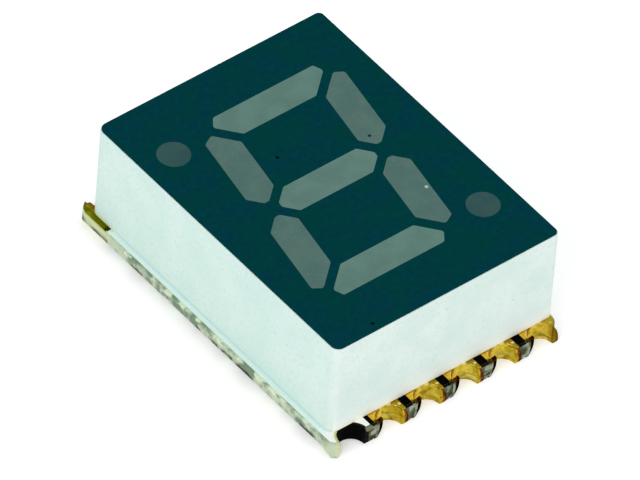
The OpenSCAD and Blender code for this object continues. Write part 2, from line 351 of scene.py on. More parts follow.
# %% Helpers for node groups
def new_group(name, inputs, *outputs):
    """An empty node group with named inputs and outputs."""
    tree = bpy.data.node_groups.new(name, "ShaderNodeTree")
    for label, value in inputs.items():
        kind = "NodeSocketVector" if isinstance(value, tuple) else "NodeSocketFloat"
        socket = tree.interface.new_socket(name=label, in_out="INPUT", socket_type=kind)
        socket.default_value = value
    for label in outputs:
        tree.interface.new_socket(name=label, in_out="OUTPUT", socket_type="NodeSocketFloat")
    return tree, tree.nodes.new("NodeGroupInput").outputs, tree.nodes.new("NodeGroupOutput").inputs


def place_in_mm(tree):
    """Object coordinates in millimetres."""
    place = add_node(tree, "ShaderNodeTexCoord").outputs["Object"]
    return vector_node(tree, "SCALE", place, 1 / MM)


def ragged_shift(tree, noise, amount):
    """A push to either side, by a noise, that makes a border ragged."""
    return math_node(tree, "MULTIPLY", math_node(tree, "SUBTRACT", noise.outputs["Fac"], 0.5), amount)


print("helpers for groups are ready")

# %% Clouds of tone
tree, given, result = new_group(
    "clouds", {"Stretch": (1.0, 1.0, 1.0), "Scale": 1.0, "Detail": 2.0, "Low": 0.4, "High": 0.6}, "Mask")
noise = add_node(tree, "ShaderNodeTexNoise")
feed(tree, vector_node(tree, "MULTIPLY", place_in_mm(tree), given["Stretch"]), noise.inputs["Vector"])
feed(tree, given["Scale"], noise.inputs["Scale"])
feed(tree, given["Detail"], noise.inputs["Detail"])
feed(tree, ramp(tree, noise.outputs["Fac"], given["Low"], given["High"]), result["Mask"])
print("pattern:", tree.name)

# %% Scattered specks
SPECK_CORE = 0.4

tree, given, result = new_group("specks", {"Scale": 4.0, "Size": 0.15, "Share": 0.5}, "Mask")
cells = add_node(tree, "ShaderNodeTexVoronoi")
feed(tree, place_in_mm(tree), cells.inputs["Vector"])
feed(tree, given["Scale"], cells.inputs["Scale"])
luck = add_node(tree, "ShaderNodeSeparateColor")
feed(tree, cells.outputs["Color"], luck.inputs[0])
chosen = math_node(tree, "LESS_THAN", luck.outputs[0], given["Share"])
core = math_node(tree, "MULTIPLY", given["Size"], SPECK_CORE)
spot = outside(tree, ramp(tree, cells.outputs["Distance"], core, given["Size"]))
feed(tree, overlap(tree, chosen, spot), result["Mask"])
print("pattern:", tree.name)

# %% One mark at a place
tree, given, result = new_group(
    "mark", {"Centre": (0.0, 0.0, 0.0), "Stretch": (1.0, 1.0, 1.0), "Inner": 0.05, "Outer": 0.1}, "Mask")
away = vector_node(tree, "SUBTRACT", place_in_mm(tree), given["Centre"])
away = vector_node(tree, "MULTIPLY", away, given["Stretch"])
away = vector_node(tree, "LENGTH", away, output="Value")
feed(tree, outside(tree, ramp(tree, away, given["Inner"], given["Outer"])), result["Mask"])
print("pattern:", tree.name)

# %% A band along an edge, with a ragged border
tree, given, result = new_group(
    "ragged_band", {"Axis": (0.0, 1.0, 0.0), "From": 0.0, "To": 1.0, "Ragged": 0.1, "Scale": 4.0}, "Mask")
place = place_in_mm(tree)
noise = add_node(tree, "ShaderNodeTexNoise")
feed(tree, place, noise.inputs["Vector"])
feed(tree, given["Scale"], noise.inputs["Scale"])
feed(tree, 3.0, noise.inputs["Detail"])
along = vector_node(tree, "DOT_PRODUCT", vector_node(tree, "ABSOLUTE", place), given["Axis"], "Value")
along = math_node(tree, "ADD", along, ragged_shift(tree, noise, given["Ragged"]))
feed(tree, ramp(tree, along, given["From"], given["To"]), result["Mask"])
print("pattern:", tree.name)

# %% Distances from the nearest half hole
tree, given, result = new_group("half_hole", {"Ragged": 0.0, "Scale": 5.0}, "Past", "Away")
place = place_in_mm(tree)
noise = add_node(tree, "ShaderNodeTexNoise")
feed(tree, place, noise.inputs["Vector"])
feed(tree, given["Scale"], noise.inputs["Scale"])
axes = add_node(tree, "ShaderNodeSeparateXYZ")
feed(tree, place, axes.inputs[0])
steps = math_node(tree, "DIVIDE", math_node(tree, "SUBTRACT", axes.outputs["X"], FIRST_NOTCH), PITCH)
past = math_node(tree, "SUBTRACT", steps, math_node(tree, "ROUND", steps))
past = math_node(tree, "MULTIPLY", past, PITCH)
past = math_node(tree, "ADD", past, ragged_shift(tree, noise, given["Ragged"]))
inward = math_node(tree, "SUBTRACT", BOARD_HIGH.y, math_node(tree, "ABSOLUTE", axes.outputs["Y"]))
squares = math_node(tree, "ADD", math_node(tree, "POWER", past, 2.0), math_node(tree, "POWER", inward, 2.0))
feed(tree, past, result["Past"])
feed(tree, math_node(tree, "SQRT", squares), result["Away"])
print("pattern:", tree.name)

# %% [markdown]
# Finishes from masks and tones. Each finish below starts from two tones that drift into each other, and is
# then covered, layer on layer, as dirt and wear cover the real thing. A mask says where a layer lies, and an
# amount says how thick it is. The masks go by place: a band along an edge of the board, or one mark.

# %% New finishes
def srgb(red, green, blue):
    """A colour as it is read from a screen, turned to the even scale that a shader takes."""
    even = [(c / 255 / 12.92 if c <= 10 else ((c / 255 + 0.055) / 1.055) ** 2.4) for c in (red, green, blue)]
    return (*even, 1.0)


def new_finish(name, roughness, specular, metallic=0.0):
    """A material with one Principled shader, and its node tree."""
    finish = bpy.data.materials.new(name)
    finish.use_nodes = True
    shader = finish.node_tree.nodes["Principled BSDF"].inputs
    shader["Roughness"].default_value = roughness
    shader["Specular IOR Level"].default_value = specular
    shader["Metallic"].default_value = metallic
    return finish, finish.node_tree, shader


def relief(tree, shader, height, depth_mm):
    """A bump of a real depth."""
    bump = add_node(tree, "ShaderNodeBump")
    bump.inputs["Distance"].default_value = depth_mm * MM
    feed(tree, height, bump.inputs["Height"])
    feed(tree, bump.outputs[0], shader["Normal"])


print("white on the even scale:", srgb(255, 255, 255))

# %% Masks
ACROSS, ALONG, UP = (1.0, 0.0, 0.0), (0.0, 1.0, 0.0), (0.0, 0.0, 1.0)
EVEN = (1.0, 1.0, 1.0)


def pattern(tree, name, output="Mask", **values):
    """One of the shared patterns, with its own values."""
    node = add_node(tree, "ShaderNodeGroup", node_tree=bpy.data.node_groups[name])
    for label, value in values.items():
        feed(tree, value, node.inputs[label])
    return node.outputs[output]


def mark(tree, centre, inner, outer, stretch=EVEN):
    """One soft mark round a place."""
    return pattern(tree, "mark", Centre=centre, Stretch=stretch, Inner=inner, Outer=outer)


def band(tree, axis, start, full, ragged=0.0, scale=1.0):
    """A band along one axis, on both sides of the middle, from where it starts to where it is full."""
    return pattern(tree, "ragged_band", Axis=axis, From=start, To=full, Ragged=ragged, Scale=scale)


def near_side(tree, wide, soft, ragged=0.0, scale=1.0):
    """A band of some width along the two long sides of the board."""
    start = BOARD_HIGH.x - wide
    return band(tree, ACROSS, start, start + soft, ragged, scale)


def near_end(tree, wide, soft, ragged=0.0, scale=1.0):
    """A band of some width along the two sawn ends of the board."""
    start = BOARD_HIGH.y - wide
    return band(tree, ALONG, start, start + soft, ragged, scale)


def between(tree, value, low, high, soft):
    """1 where the value lies between two limits, with a soft border."""
    return overlap(tree, ramp(tree, value, low, low + soft), ramp(tree, value, high, high - soft))


def piece_value(tree, name):
    """A value that a piece carries on its own points."""
    return add_node(tree, "ShaderNodeAttribute", attribute_name=name).outputs["Fac"]


print("shared patterns:", sorted(group.name for group in bpy.data.node_groups))

# %% Tones
def tint(tree, mask, under, over):
    """The colour under, covered by the colour over where the mask is."""
    node = add_node(tree, "ShaderNodeMix", data_type="RGBA")
    feed(tree, mask, node.inputs["Factor"])
    feed(tree, under, node.inputs[6])
    feed(tree, over, node.inputs[7])
    return node.outputs[2]


def cover(tree, under, mask, amount, over):
    """The colour under, covered by an amount of the colour over where the mask is."""
    return tint(tree, overlap(tree, mask, amount), under, over)


def clouded(tree, deep, light, scale, low, high, detail=3.0):
    """Two tones that drift into each other."""
    return tint(tree, pattern(tree, "clouds", Scale=scale, Detail=detail, Low=low, High=high), deep, light)


print("helpers for finishes are ready")

# %% [markdown]
# The white block. On the real part this is a moulding in a white plastic, filled so that no light leaks
# between its wells. Moulded walls are nearly plain, with faint clouds, a few dark grains of the filler, and a
# trace of the gate where the plastic came in. A flat white would look like a drawing, so the clouds and the
# grains are kept faint and the gate is one soft mark on the front wall. The end walls are painted pinker than
# the side walls, and the front left corner lighter, as painted light. Near the board, light is painted in: the
# end walls are painted paler below, a painted shade lies along the foot of the side walls, and a painted
# yellow glow, as from the gold, lies along the foot of the end walls and beside the gold strip at the back
# left.

# %% White plastic
GATE_PLACE = (0.21, BLOCK_LOW.y, 2.726)

white_plastic, tree, shader = new_finish("white_plastic", 0.5, 0.15)
# Painted light: the end walls take a pinker tone than the side walls.
on_end_wall = band(tree, ALONG, BLOCK_HIGH.y - 0.06, BLOCK_HIGH.y - 0.01)
deep = tint(tree, on_end_wall, srgb(208, 234, 227), srgb(213, 231, 226))
light = tint(tree, on_end_wall, srgb(216, 237, 231), srgb(222, 236, 232))
colour = clouded(tree, deep, light, scale=0.8, low=0.35, high=0.65)
drifts = pattern(tree, "clouds", Scale=9.0, Detail=3.0, Low=0.45, High=0.75)
colour = cover(tree, colour, drifts, 0.5, srgb(196, 222, 212))
grains = pattern(tree, "specks", Scale=3.0, Size=0.10, Share=0.35)
colour = cover(tree, colour, grains, 0.4, srgb(160, 180, 168))
gate = mark(tree, GATE_PLACE, 0.02, 0.14)
colour = cover(tree, colour, gate, 0.25, srgb(226, 214, 178))
# Painted light: the front left corner is painted lighter and warmer.
corner = mark(tree, (BLOCK_LOW.x, BLOCK_LOW.y, 0.0), 0.05, 0.3, stretch=(1.0, 1.0, 0.0))
colour = cover(tree, colour, corner, 0.3, srgb(232, 226, 219))
print("finish:", white_plastic.name)

# %% White plastic near the board
PALE_Z, PALEST_Z = 2.0, 1.15
FOOT_LOW, FOOT_HIGH = BLOCK_LOW.z + 0.03, BLOCK_LOW.z + 0.14

# Painted light: the end walls are painted paler towards the board.
lower = band(tree, UP, PALE_Z, BLOCK_LOW.z)
colour = cover(tree, colour, overlap(tree, on_end_wall, lower), 0.5, srgb(232, 245, 242))
lowest = band(tree, UP, PALEST_Z, BLOCK_LOW.z)
colour = cover(tree, colour, overlap(tree, on_end_wall, lowest), 0.7, srgb(250, 252, 244))
# Painted shade along the foot of the side walls, and a painted yellow reflection along the foot of the end
# walls.
at_foot = outside(tree, band(tree, UP, FOOT_LOW, FOOT_HIGH, ragged=0.02, scale=4.0))
foot_shade_and_glow = tint(tree, on_end_wall, srgb(196, 218, 211), srgb(250, 246, 218))
colour = cover(tree, colour, at_foot, 0.7, foot_shade_and_glow)
# A painted yellow reflection on the wall beside the gold strip at the back left.
glow = mark(tree, (BLOCK_LOW.x, STRIP_MIDDLE, BLOCK_LOW.z), 0.05, 0.12, stretch=(1.0, 0.12, 1.0))
colour = cover(tree, colour, glow, 0.85, srgb(236, 236, 178))
feed(tree, colour, shader["Base Color"])
relief(tree, shader, pattern(tree, "clouds", Scale=14.0, Detail=2.0, Low=0.2, High=0.8), 0.002)
print("end walls grow paler below, in mm:", PALE_Z)

# %% Block with its wells
EDGE_ROUND = 0.02
FOOT_ROUND = 0.012
WALL_DEEP = 0.3
LEVEL_SLACK = 0.01
BLOCK_MIDDLE = (BLOCK_LOW + BLOCK_HIGH) / 2
BLOCK_HALF = (BLOCK_HIGH - BLOCK_LOW) / 2


def outer_wall(point):
    """True on the outside of the block, away from its wells."""
    return (abs(point.x - BLOCK_MIDDLE.x) > BLOCK_HALF.x - WALL_DEEP
            or abs(point.y) > BLOCK_HIGH.y - WALL_DEEP)


block = copy_of_solid("reflector_block")
upper_edges = corner_edges(block, lambda p: outer_wall(p) and p.z > BLOCK_HIGH.z - LEVEL_SLACK)
round_edges(block, upper_edges, EDGE_ROUND, steps=2)
foot_edges = corner_edges(block, lambda p: outer_wall(p) and p.z < BLOCK_LOW.z + LEVEL_SLACK)
round_edges(block, foot_edges, FOOT_ROUND, steps=3)
make_piece(block, "moulded_block", white_plastic, "white_plastic", "reflector_block")

# %% [markdown]
# The printed face. A dark matt ink covers the top of the block, so that a segment that is off hardly shows.
# It has almost no gloss, and its tone wanders a little between blue and green. There are two pin-pricks in
# it. The print is already a thin solid of the right outline, so it stays as packed and only takes its finish.

# %% Face print
PRICKS = ((-0.485, 1.397), (-2.248, -4.765))

face_ink, tree, shader = new_finish("face_ink", 0.8, 0.0)
colour = clouded(tree, srgb(2, 58, 58), srgb(3, 55, 66), scale=1.3, low=0.35, high=0.65)
drifts = pattern(tree, "clouds", Scale=6.0, Detail=4.0, Low=0.4, High=0.7)
colour = cover(tree, colour, drifts, 0.6, srgb(3, 64, 64))
for x, y in PRICKS:
    colour = tint(tree, mark(tree, (x, y, FACE_Z), 0.02, 0.08), colour, srgb(2, 14, 14))
feed(tree, colour, shader["Base Color"])
relief(tree, shader, pattern(tree, "clouds", Scale=10.0, Detail=3.0, Low=0.2, High=0.8), 0.001)
dress_solid("face_print", face_ink)
print("finish:", face_ink.name)

# %% [markdown]
# The resin. Each well is filled with a cloudy resin, cast flush with the face. As it cures it shrinks by a
# hair, so its face is very slightly hollow and lighter along its border, where the white wall shines through.
# A rim could be painted by a formula for each outline, but an inset ring of faces, with a value that falls
# from 1 on the outline to 0 inside, follows any outline by itself.

# %% Resin finishes
RIM = "rim"
DARK_SPECK = (1.992, 0.635, FACE_Z)
PALE_SPECK = (2.033, -1.692, FACE_Z)


def cast_resin(name, deep, light, rim):
    """A cloudy resin between two tones, with a lighter border."""
    finish, tree, shader = new_finish(name, 0.55, 0.05)
    colour = clouded(tree, deep, light, scale=1.4, low=0.35, high=0.65)
    grains = pattern(tree, "clouds", Scale=12.0, Detail=3.0, Low=0.5, High=0.8)
    colour = cover(tree, colour, grains, 0.3, rim)
    colour = cover(tree, colour, piece_value(tree, RIM), 0.35, rim)
    return finish, tree, shader, colour


resins = {}
# One resin in three copies: the level segments are painted lighter than the upright ones, and the points
# darkest, as painted light and shade in the wells.
for name, deep, light, rim in (
    ("resin_level", (90, 123, 114), (96, 130, 120), (112, 148, 138)),
    ("resin_upright", (78, 109, 103), (84, 114, 107), (104, 140, 132)),
    ("resin_point", (46, 79, 80), (51, 84, 82), (58, 96, 95)),
):
    finish, tree, shader, colour = cast_resin(name, srgb(*deep), srgb(*light), srgb(*rim))
    if name == "resin_upright":
        colour = tint(tree, mark(tree, DARK_SPECK, 0.02, 0.07), colour, srgb(6, 24, 24))
        colour = tint(tree, mark(tree, PALE_SPECK, 0.02, 0.07), colour, srgb(176, 206, 196))
    feed(tree, colour, shader["Base Color"])
    resins[name] = finish
    print("finish:", name)

# %% Resin fillings
RIM_WIDTH = 0.05
HOLLOW = 0.006
FACING_UP = 0.99
FACE_SLACK = 0.001
RESIN_OF = {"a": "resin_level", "d": "resin_level", "g": "resin_level",
            "dot_left": "resin_point", "dot_right": "resin_point"}
PLACES = ["a", "b", "c", "d", "e", "f", "g", "dot_left", "dot_right"]

for place in PLACES:
    filling = copy_of_solid("resin_" + place)
    top = [f for f in filling.faces
           if f.normal.z > FACING_UP and f.calc_center_median().z > FACE_Z - FACE_SLACK]
    outline = {v for f in top for v in f.verts}
    bmesh.ops.inset_region(filling, faces=top, thickness=RIM_WIDTH, depth=-HOLLOW,
                           use_even_offset=True, use_boundary=True)
    layer = filling.verts.layers.float.new(RIM)
    for vert in filling.verts:
        vert[layer] = 1.0 if vert in outline and vert.co.z > FACE_Z - FACE_SLACK else 0.0
    kind = RESIN_OF.get(place, "resin_upright")
    slot = "dot_resin" if kind == "resin_point" else "resin"
    make_piece(filling, "filling_" + place, resins[kind], slot, "resin_" + place)

# %% [markdown]
# The board. It is a glass laminate, pale and a little green. Its two long sides were scored and snapped, and
# are blotched along their foot. Its two ends were sawn through the middle of a row of holes, and are grey,
# with the glass layers as darker lines and some copper dragged along by the saw. One colour could not tell
# these faces apart, so the finish goes by place: bands near the sides, bands near the ends, and marks.

# %% Laminate and its snapped sides
BLOTCH_TOP = 0.42
PALE_SIDE_Z = 0.35
BLOT_PLACE = (BOARD_LOW.x, 4.5, 0.28)

laminate, tree, shader = new_finish("laminate", 0.6, 0.04)
colour = clouded(tree, srgb(206, 212, 172), srgb(222, 226, 194), scale=1.6, low=0.35, high=0.65)
side = clouded(tree, srgb(124, 146, 122), srgb(198, 212, 186), scale=3.0, low=0.38, high=0.62, detail=5.0)
# Painted highlight: a pale tone along the upper edge of the snapped sides.
high = band(tree, UP, BLOTCH_TOP, 0.5, ragged=0.1, scale=3.0)
edge_highlight = pattern(tree, "clouds", Scale=2.3, Detail=3.0, Low=0.5, High=0.6)
side = cover(tree, side, overlap(tree, high, edge_highlight), 0.8, srgb(236, 244, 216))
low = band(tree, UP, BLOTCH_TOP, 0.3, ragged=0.2, scale=2.5)
blots = pattern(tree, "clouds", Scale=1.6, Detail=4.0, Low=0.48, High=0.56)
side = cover(tree, side, overlap(tree, low, blots), 0.92, srgb(44, 56, 42))
for middle, soft, tone in (
    (STRIP_MIDDLE, 0.65, srgb(204, 214, 182)),
    (BOARD_LOW.y, 0.5, srgb(214, 226, 196)),
):
    pale = mark(tree, (BOARD_LOW.x, middle, PALE_SIDE_Z), soft / 3, soft)
    side = cover(tree, side, pale, 0.75, tone)
blot = mark(tree, BLOT_PLACE, 0.05, 0.14, stretch=(1.0, 0.4, 1.0))
side = cover(tree, side, blot, 0.8, srgb(70, 86, 66))
under_strip = mark(tree, (BOARD_LOW.x, STRIP_MIDDLE, BOARD_HIGH.z), 0.08, 0.16, stretch=(1.0, 0.18, 1.0))
side = cover(tree, side, under_strip, 0.85, srgb(216, 226, 164))
colour = tint(tree, near_side(tree, wide=0.2, soft=0.08), colour, side)
print("finish:", laminate.name, "with blotches below, in mm:", BLOTCH_TOP)

# %% Sawn ends of the laminate
SAWN_WIDE = 0.09

end = clouded(tree, srgb(66, 74, 48), srgb(164, 172, 148), scale=2.6, low=0.36, high=0.64)
layers = pattern(tree, "clouds", Stretch=(1.0, 1.0, 4.0), Scale=2.2, Detail=3.0, Low=0.54, High=0.64)
end = cover(tree, end, layers, 0.8, srgb(30, 38, 28))
past = pattern(tree, "half_hole", "Past", Ragged=0.14, Scale=4.0)
end = cover(tree, end, between(tree, past, 0.3, 0.78, 0.2), 0.8, srgb(78, 78, 44))
uppermost = band(tree, UP, BOARD_HIGH.z - 0.03, BOARD_HIGH.z - 0.01)
mid_tooth = ramp(tree, math_node(tree, "ABSOLUTE", pattern(tree, "half_hole", "Past")), 0.5, 0.52)
end = tint(tree, overlap(tree, uppermost, mid_tooth), end, srgb(3, 3, 2))
at_end = near_end(tree, wide=SAWN_WIDE, soft=0.03)
on_teeth = outside(tree, near_side(tree, wide=0.45, soft=0.05))
colour = tint(tree, overlap(tree, at_end, on_teeth), colour, end)
print("sawn ends start from the middle, in mm:", round(BOARD_HIGH.y - SAWN_WIDE, 3))

# %% Laminate beside the outer half holes
BESIDE_BARE = FIRST_NOTCH + NOTCH_R + 0.06
BESIDE_LAST = 0.12 - FIRST_NOTCH + NOTCH_R
UNCOATED = FIRST_NOTCH + 0.56

for way in (1, -1):
    place = (way * BESIDE_BARE, way * BOARD_LOW.y, MID_BOARD_Z)
    colour = tint(tree, mark(tree, place, 0.09, 0.13, stretch=(1.0, 1.0, 0.2)), colour, srgb(4, 4, 3))
beside_last = mark(tree, (BESIDE_LAST, BOARD_LOW.y, MID_BOARD_Z), 0.2, 0.3, stretch=(1.0, 0.8, 0.2))
colour = cover(tree, colour, beside_last, 0.9, srgb(112, 84, 22))
for way in (1, -1):
    place = (way * UNCOATED, way * BOARD_LOW.y, BOARD_HIGH.z)
    colour = tint(tree, mark(tree, place, 0.1, 0.13), colour, srgb(118, 126, 96))
feed(tree, colour, shader["Base Color"])
glass = pattern(tree, "clouds", Stretch=(1.0, 1.0, 3.0), Scale=5.0, Detail=3.0, Low=0.3, High=0.7)
relief(tree, shader, glass, 0.02)
dress_solid("board_laminate", laminate)
print("dressed: board_laminate")

# %% [markdown]
# The coats. A black lacquer lies on both sides of the board and shows between the lands. It is missing at the
# corners, where the pale board shows. Along the snapped sides its edge is painted pale, for the pale board
# that shows there and as a painted highlight on the edge. A white ink lies over it on the long ledge at the
# left, and beside the unplated half hole, where it draws back from the rim. Both are thin solids, so only
# their finish is made here, and the places where a coat is missing are painted by distance.

# %% Black lacquer
INKED_END = STRIP_END - 0.11

black_coat, tree, shader = new_finish("black_coat", 0.6, 0.02)
colour = clouded(tree, srgb(1, 1, 1), srgb(5, 6, 4), scale=3.0, low=0.4, high=0.7)
at_corner = overlap(tree, near_side(tree, wide=0.35, soft=0.06), near_end(tree, wide=0.55, soft=0.1))
colour = tint(tree, at_corner, colour, srgb(186, 198, 150))
# Painted pale along the snapped sides, for the pale board there and as a painted highlight on the edge.
colour = tint(tree, near_side(tree, wide=0.1, soft=0.02), colour, srgb(196, 210, 184))
inked = mark(tree, (BLOCK_LOW.x, INKED_END, BLOCK_LOW.z), 0.07, 0.09, stretch=(0.3, 1.0, 0.5))
colour = tint(tree, inked, colour, srgb(220, 245, 241))
feed(tree, colour, shader["Base Color"])
relief(tree, shader, pattern(tree, "clouds", Scale=8.0, Detail=2.0, Low=0.2, High=0.8), 0.002)
for node in ("black_lacquer", "under_lacquer"):
    dress_solid(node, black_coat)
print("finish:", black_coat.name)

# %% White ink
INK_EDGE = 0.5
INK_TURN = -0.22

white_coat, tree, shader = new_finish("white_coat", 0.55, 0.15)
colour = clouded(tree, srgb(243, 246, 244), srgb(232, 240, 235), scale=2.0, low=0.4, high=0.7)
on_ledge = outside(tree, near_end(tree, wide=0.7, soft=0.3, ragged=0.3, scale=2.0))
colour = cover(tree, colour, on_ledge, 0.85, srgb(220, 245, 241))
past = pattern(tree, "half_hole", "Past")
away = pattern(tree, "half_hole", "Away", Ragged=0.02, Scale=6.0)
drawn_back = overlap(tree, ramp(tree, away, INK_EDGE, 0.485), ramp(tree, past, -0.26, INK_TURN))
colour = tint(tree, drawn_back, colour, srgb(3, 3, 2))
lip = overlap(tree, ramp(tree, away, INK_EDGE, 0.47), ramp(tree, past, INK_TURN, -0.26))
colour = tint(tree, lip, colour, srgb(186, 196, 122))
feed(tree, colour, shader["Base Color"])
relief(tree, shader, pattern(tree, "clouds", Scale=7.0, Detail=2.0, Low=0.2, High=0.8), 0.002)
dress_solid("white_ink", white_coat)
print("finish:", white_coat.name)

# %% [markdown]
# The terminals. Each is a plated half hole: a hole was drilled and plated, and then the saw went through its
# middle. The gold is warm on the flat land, yellower and streaked down in the hole, and green and dull near
# the long sides of the board; the pale streaks low in the hole are a painted reflection. The saw bared the
# copper, so the cut edge is brown to black. The rim of a plated hole is always round, and it catches the
# lamps, so the rims are bevelled. Each rim also takes a paler painted tone and painted highlights, the left
# part of each hole is painted lighter, and painted shade darkens the land along the foot of the block.

# %% Gold in the holes
GOLD_EDGE = srgb(224, 196, 120)
STREAK_TOP, STREAK_FULL = 0.34, 0.2

gold, tree, shader = new_finish("tarnished_gold", 0.3, 0.5, metallic=1.0)
shader["Specular Tint"].default_value = GOLD_EDGE
hole = clouded(tree, srgb(180, 156, 40), srgb(212, 192, 72), scale=3.0, low=0.36, high=0.64)
low = band(tree, UP, STREAK_TOP, STREAK_FULL, ragged=0.1, scale=4.0)
# The pale streaks are a painted reflection; the dark streaks stand for scratches in the gold.
for scale, tone in ((3.1, srgb(232, 222, 128)), (3.7, srgb(126, 108, 12))):
    lines = pattern(tree, "clouds", Stretch=(0.5, 0.5, 4.0), Scale=scale, Detail=1.5, Low=0.46, High=0.7)
    hole = cover(tree, hole, overlap(tree, low, lines), 0.7, tone)
print("finish:", gold.name, "with streaks below, in mm:", STREAK_TOP)

# %% Gold on the lands and ledges
land = clouded(tree, srgb(234, 184, 44), srgb(248, 200, 64), scale=2.5, low=0.35, high=0.65)
olive = clouded(tree, srgb(104, 112, 6), srgb(140, 152, 30), scale=2.0, low=0.4, high=0.6)
strip_end = mark(tree, (BLOCK_LOW.x, STRIP_END, BLOCK_LOW.z), 0.06, 0.13, stretch=(0.3, 1.0, 1.0))
olive = cover(tree, olive, strip_end, 0.9, srgb(36, 42, 4))
ledge = near_side(tree, wide=0.27, soft=0.06, ragged=0.02, scale=4.0)
land = tint(tree, ledge, land, olive)
on_land = band(tree, UP, TERMINAL_TOP - 0.05, TERMINAL_TOP - 0.02, ragged=0.01, scale=6.0)
off_land = outside(tree, on_land)
open_land = math_node(tree, "SUBTRACT", on_land, ledge)
colour = tint(tree, on_land, hole, land)
print("strip of gold ends at, in mm:", round(STRIP_END, 3))

# %% Rims and painted highlights
RIM_HIGHLIGHTS = ((0.31, 0.14, 0.15), (0.16, 0.39, 0.12))
HIGHLIGHT_DEEP = 0.1

past = pattern(tree, "half_hole", "Past")
away = pattern(tree, "half_hole", "Away", Ragged=0.02, Scale=8.0)
on_left = ramp(tree, past, 0.12, -0.08)
# Painted highlight: the rim round each hole is painted a paler yellow.
rim = overlap(tree, between(tree, away, 0.37, 0.46, 0.03), on_land)
colour = cover(tree, colour, rim, 0.7, srgb(226, 204, 96))
# Painted highlight: a bright yellow along the left part of each rim.
turned = overlap(tree, between(tree, away, 0.35, 0.45, 0.03), on_left)
colour = cover(tree, colour, turned, 0.6, srgb(255, 226, 120))
# Painted light: the left part of each hole is painted lighter.
colour = cover(tree, colour, overlap(tree, off_land, on_left), 0.5, srgb(240, 220, 104))
# Painted shade: the open land is darkened along the foot of the block.
shade_at_foot = band(tree, ALONG, BLOCK_HIGH.y + 0.055, BLOCK_HIGH.y + 0.02, ragged=0.03, scale=3.0)
colour = cover(tree, colour, overlap(tree, shade_at_foot, open_land), 0.6, srgb(104, 74, 8))
on_right = overlap(tree, ramp(tree, past, 0.04, 0.16), open_land)
colour = cover(tree, colour, on_right, 0.75, srgb(140, 118, 14))
away_squared, past_squared = [math_node(tree, "POWER", length, 2.0) for length in (away, past)]
inward = math_node(tree, "SQRT", math_node(tree, "SUBTRACT", away_squared, past_squared))
# Painted highlights: two bright spots on the land by each hole, where the lamps shine on the rim.
for least, from_left, wide in RIM_HIGHLIGHTS:
    highlight = overlap(tree, between(tree, inward, least, least + HIGHLIGHT_DEEP, 0.03),
                   between(tree, past, from_left, from_left + wide, 0.04))
    colour = cover(tree, colour, overlap(tree, highlight, on_land), 0.9, srgb(255, 240, 164))
print("worn spots by each hole:", len(RIM_HIGHLIGHTS))

# %% Stains and the cut edge
BROWN_WIDE, BARE_WIDE = 0.18, 0.05

stains = pattern(tree, "clouds", Scale=5.0, Detail=4.0, Low=0.53, High=0.66)
in_hole = overlap(tree, off_land, 0.3)
stained = overlap(tree, stains, math_node(tree, "ADD", 0.3, in_hole))
colour = tint(tree, stained, colour, srgb(118, 90, 6))
dirt = pattern(tree, "clouds", Scale=9.0, Detail=5.0, Low=0.47, High=0.63)
colour = tint(tree, overlap(tree, dirt, in_hole), colour, srgb(138, 114, 12))
brown = near_end(tree, wide=BROWN_WIDE, soft=0.1, ragged=0.12, scale=5.0)
brown = overlap(tree, brown, ramp(tree, past, -0.58, -0.46))
colour = cover(tree, colour, overlap(tree, brown, on_left), 0.85, srgb(96, 40, 8))
bare = near_end(tree, wide=BARE_WIDE, soft=0.04, ragged=0.05, scale=9.0)
colour = tint(tree, overlap(tree, bare, on_left), colour, srgb(40, 14, 6))
print("copper is bare past, in mm:", round(BOARD_HIGH.y - BARE_WIDE, 3))

# %% Corner lands, roughness and relief
RIGHT_LAND = (3.6, -5.1, BLOCK_LOW.z)
RIGHT_EDGE = (3.575, BOARD_LOW.y, MID_BOARD_Z)
LEFT_LAND = (-3.4, 5.2, BLOCK_LOW.z)
SMOOTH, STAINED_BY = 0.22, 0.25

colour = cover(tree, colour, mark(tree, RIGHT_LAND, 0.25, 0.5), 0.6, srgb(206, 176, 56))
right_edge = mark(tree, RIGHT_EDGE, 0.04, 0.22, stretch=(1.0, 1.0, 0.3))
colour = cover(tree, colour, right_edge, 0.65, srgb(118, 90, 10))
# Painted shade: the land at the back left is darkened, for the block's shade and a dark reflection.
left_land_shade = overlap(tree, mark(tree, LEFT_LAND, 0.2, 0.4), outside(tree, ledge))
colour = cover(tree, colour, left_land_shade, 0.85, srgb(104, 84, 10))
feed(tree, colour, shader["Base Color"])
feed(tree, math_node(tree, "ADD", SMOOTH, overlap(tree, stains, STAINED_BY)), shader["Roughness"])
relief(tree, shader, pattern(tree, "clouds", Scale=7.0, Detail=3.0, Low=0.2, High=0.8), 0.006)
print("roughness of the gold:", SMOOTH, "to", SMOOTH + STAINED_BY)

# %% Terminals with rounded rims
RIM_ROUND = 0.045
LAND_ROUND = 0.012
PLACE_SLACK = 0.005
UNDER_BLOCK = 0.05
TERMINALS = 10
TO_EDGE = TERMINALS // 2


def hole_of(number):
    """Middle of a terminal's half hole, on the cut edge, and which end it is on."""
    way = 1 if number <= TO_EDGE else -1
    step = (number - 1) % TO_EDGE + 1
    return way * (FIRST_NOTCH + step * PITCH), way * BOARD_LOW.y, way


def on_rim(point, hole):
    """True on the border of a half hole."""
    return (point.xy - Vector(hole[:2])).length < NOTCH_R + PLACE_SLACK


def on_open_top(point):
    """True on the upper face, outside the block."""
    clear = abs(point.y) > BLOCK_HIGH.y - UNDER_BLOCK or point.x < BLOCK_LOW.x or point.x > BLOCK_HIGH.x
    return point.z > TERMINAL_TOP - PLACE_SLACK and clear


